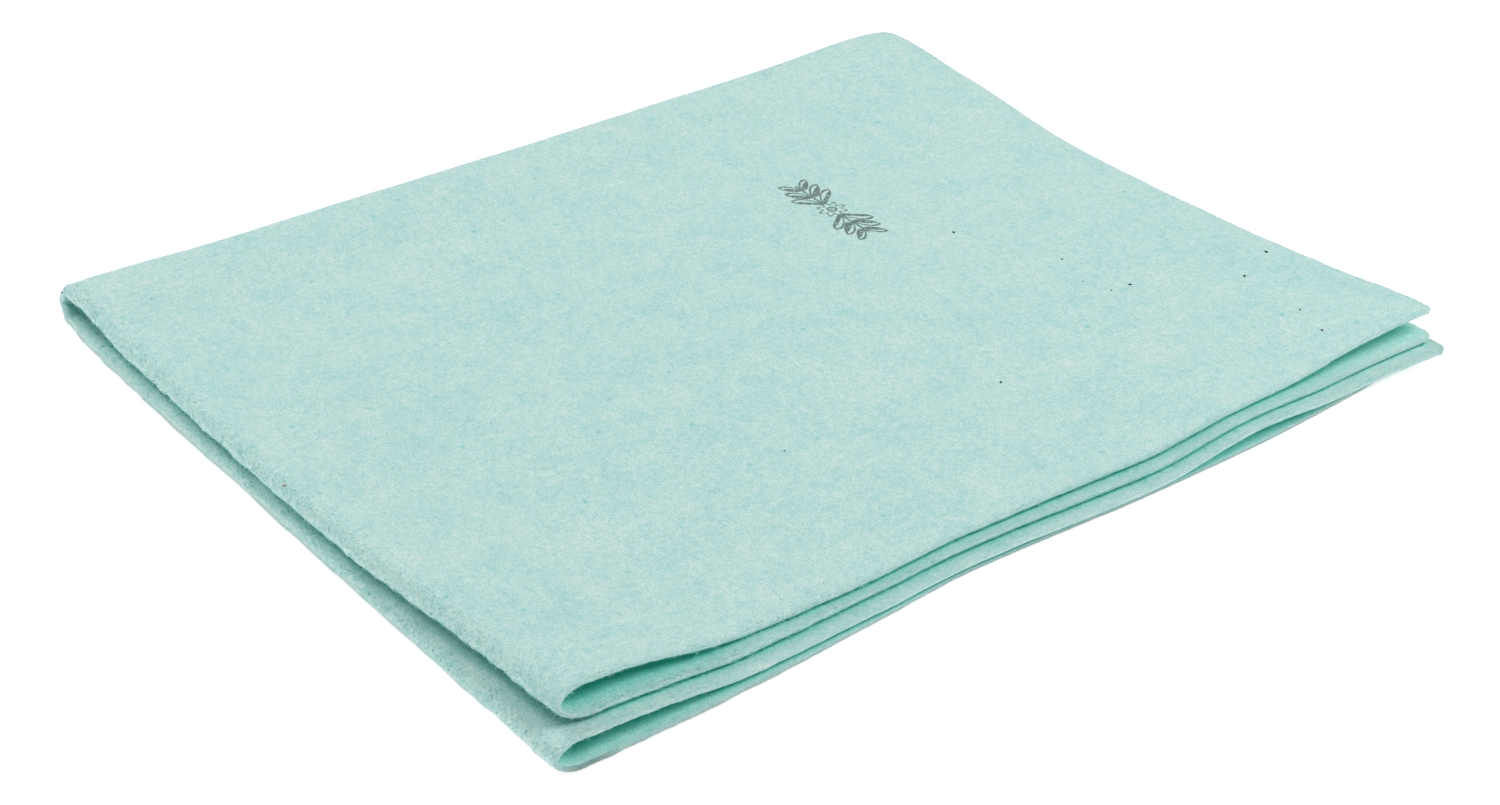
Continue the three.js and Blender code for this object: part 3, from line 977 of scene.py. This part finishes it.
# dark specks caught in the felt: place and width, and whether one is a brown fleck of straw
specks = [
    {"x": 80.5, "y": 4.0, "width": 1.1},
    {"x": 95.2, "y": -27.5, "width": 0.8},
    {"x": 93.8, "y": -49.8, "width": 0.7},
    {"x": 100.2, "y": -50.8, "width": 1.1},
    {"x": 91.0, "y": -41.0, "width": 0.6},
    {"x": 34.2, "y": -68.5, "width": 1.0},
    {"x": -35.2, "y": -61.0, "width": 0.7},
    {"x": 143.8, "y": -62.8, "width": 1.3},
    {"x": 128.0, "y": -69.2, "width": 1.1},
    {"x": 124.5, "y": -94.0, "width": 0.8},
    {"x": 120.5, "y": -106.0, "width": 0.95},
    {"x": -150.9, "y": 122.2, "width": 0.9},
    {"x": -150.5, "y": -2.0, "width": 1.0, "brown": 1},
]


def makePatchy(name, look, shadeTints=None):
    # a plain finish in two shades, with painted shade where less light gets in, as on the felt
    material, maker, shader = newMaterial(name)
    place = maker.add("TexCoord").outputs["Object"]
    patch = {"Vector": place, "Scale": 1 / (look["patch"] * mm), "Detail": patchy["detail"]}
    share = maker.spread(maker.add("TexNoise", patch).outputs["Fac"], patchy["from"], patchy["to"])
    colour = maker.mixColour(share, look["dye"], look["palest"])
    # painted shade: the fibres are made darker and tealer where the felt around them shuts out light
    if shadeTints:
        reach = {"Distance": felt["shadeReach"] * mm}
        openness = maker.add("AmbientOcclusion", reach, samples=patchy["samples"]).outputs["AO"]
        tint = maker.ramp(openness, shadeTints, "open", "tint")
        colour = maker.vector("MULTIPLY", {0: colour, 1: tint})
    if "brown" in look:
        brownness = maker.add("Attribute", attribute_name="brown").outputs["Fac"]
        colour = maker.mixColour(brownness, colour, look["brown"])
    maker.feed(shader.inputs["Base Color"], colour)
    setInputs(shader, {"Roughness": look["roughness"], "Specular IOR Level": patchy["specular"]})
    return material


def newTree(name, inputs):
    # a geometry nodes tree with its named inputs and its output
    tree = bpy.data.node_groups.new(name, "GeometryNodeTree")
    tree.interface.new_socket("Surface", in_out="INPUT", socket_type="NodeSocketGeometry")
    for label, kind in inputs.items():
        tree.interface.new_socket(label, in_out="INPUT", socket_type="NodeSocket" + kind)
    tree.interface.new_socket("Pieces", in_out="OUTPUT", socket_type="NodeSocketGeometry")
    maker = NodeWriter(tree, "GeometryNode")
    return maker, maker.add("NodeGroupInput").outputs, maker.add("NodeGroupOutput").inputs


def finishPieces(maker, given, wanted, instances):
    realized = maker.add("RealizeInstances", {0: instances}).outputs[0]
    place = maker.add("InputPosition").outputs[0]
    lowest = (clearance["sideways"], clearance["sideways"], cadLow.z + clearance["height"] * mm)
    raised = maker.vector("MAXIMUM", {0: place, 1: lowest})
    realized = maker.add("SetPosition", {0: realized, "Position": raised}).outputs[0]
    smooth = maker.add("SetShadeSmooth", {0: realized}).outputs[0]
    maker.feed(wanted[0], maker.add("SetMaterial", {0: smooth, "Material": given["Finish"]}).outputs[0])


def grow(name, mesh, tree, values):
    # runs the tree over a mesh and keeps the result as a plain mesh
    piece = bpy.data.objects.new(name, mesh)
    bpy.context.scene.collection.objects.link(piece)
    modifier = piece.modifiers.new(name, "NODES")
    modifier.node_group = tree
    for item in tree.interface.items_tree:
        if item.name in values:
            modifier[item.identifier] = values[item.name]
    bpy.context.view_layer.update()
    grown = piece.evaluated_get(bpy.context.evaluated_depsgraph_get())
    result = bpy.data.meshes.new_from_object(grown)
    piece.modifiers.clear()
    piece.data = result
    result.name = name
    print(name, len(result.polygons), "faces")
    return piece


def makeFuzz():
    kinds = {"Per Square Metre": "Float", "Length": "Float", "Radius": "Float", "Curl": "Float"}
    kinds.update({"Lean": "Float", "Seed": "Int", "Finish": "Material"})
    maker, given, wanted = newTree("fuzz", kinds)
    density = maker.math("MULTIPLY", maker.named("hairy"), given["Per Square Metre"])
    sown = {"Mesh": given["Surface"], "Density": density, "Seed": given["Seed"]}
    roots = maker.add("DistributePointsOnFaces", sown)

    sizes = {"Vertices": fuzz["sides"], "Side Segments": fuzz["segments"], "Radius Top": 0.0}
    sizes.update({"Radius Bottom": given["Radius"], "Depth": given["Length"]})
    straight = maker.add("MeshCone", sizes).outputs[0]
    height = maker.add("ShaderNodeSeparateXYZ", {0: maker.add("InputPosition").outputs[0]}).outputs["Z"]
    rise = maker.math("DIVIDE", height, given["Length"])
    aside = maker.math("MULTIPLY", maker.math("MULTIPLY", rise, height), given["Curl"])
    bend = maker.add("ShaderNodeCombineXYZ", {"X": aside}).outputs[0]
    hair = maker.add("SetPosition", {0: straight, "Offset": bend}).outputs[0]

    sway = maker.randomVector((-1, -1, -1), (1, 1, 1), given["Seed"])
    sway = maker.vector("SCALE", {0: sway, "Scale": given["Lean"]})
    leaning = maker.vector("ADD", {0: roots.outputs["Normal"], 1: sway})
    turned = maker.add("FunctionNodeAlignRotationToVector", {"Vector": leaning}, axis="Z").outputs[0]
    size = {2: fuzz["shortest"], 3: fuzz["longest"], "Seed": given["Seed"]}
    size = maker.add("FunctionNodeRandomValue", size, data_type="FLOAT")
    placed = {"Points": roots.outputs["Points"], "Instance": hair, "Rotation": turned}
    placed["Scale"] = size.outputs[1]
    finishPieces(maker, given, wanted, maker.add("InstanceOnPoints", placed).outputs[0])
    values = {"Per Square Metre": fuzz["perSquareMetre"], "Length": fuzz["length"] * mm}
    values.update({"Radius": fuzz["radius"] * mm, "Curl": fuzz["curl"], "Lean": fuzz["lean"]})
    values.update({"Seed": fuzz["seed"], "Finish": makePatchy("fibre", fibre, fibreShadeTints)})
    return grow("fuzz", floorCloth.data, maker.tree, values)


def makeSpecks():
    maker, given, wanted = newTree("specks", {"Flatness": "Float", "Seed": "Int", "Finish": "Material"})
    bead = maker.add("MeshIcoSphere", {"Radius": mm / 2, "Subdivisions": 2}).outputs[0]
    width = maker.named("width")
    length = maker.math("MULTIPLY", width, speckShape["length"])
    shape = {"X": width, "Y": length, "Z": maker.math("MULTIPLY", width, given["Flatness"])}
    shape = maker.add("ShaderNodeCombineXYZ", shape).outputs[0]
    turn = maker.randomVector((0, 0, -pi), (0, 0, pi), given["Seed"])
    placed = {"Points": given["Surface"], "Instance": bead, "Rotation": turn, "Scale": shape}
    finishPieces(maker, given, wanted, maker.add("InstanceOnPoints", placed).outputs[0])

    bpy.context.view_layer.update()
    places = []
    for row in specks:
        x, y = (row["x"] + clothSeat[0]) * mm, (row["y"] + clothSeat[1]) * mm
        places.append(floorCloth.ray_cast(Vector((x, y, speckShape["dropFrom"])), Vector((0, 0, -1)))[1])
    mesh = bpy.data.meshes.new("speckPlaces")
    mesh.from_pydata(places, [], [])
    for name in ("width", "brown"):
        column = [row.get(name, 0) for row in specks]
        mesh.attributes.new(name, "FLOAT", "POINT").data.foreach_set("value", column)
    values = {"Flatness": speckShape["flatness"], "Seed": speckShape["seed"]}
    values["Finish"] = makePatchy("speck", speck)
    return grow("lintSpecks", mesh, maker.tree, values)


fuzzPiece = makeFuzz()
speckPiece = makeSpecks()

for piece in (floorCloth, fuzzPiece, speckPiece):
    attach(piece, "root")
    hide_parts("cloth")
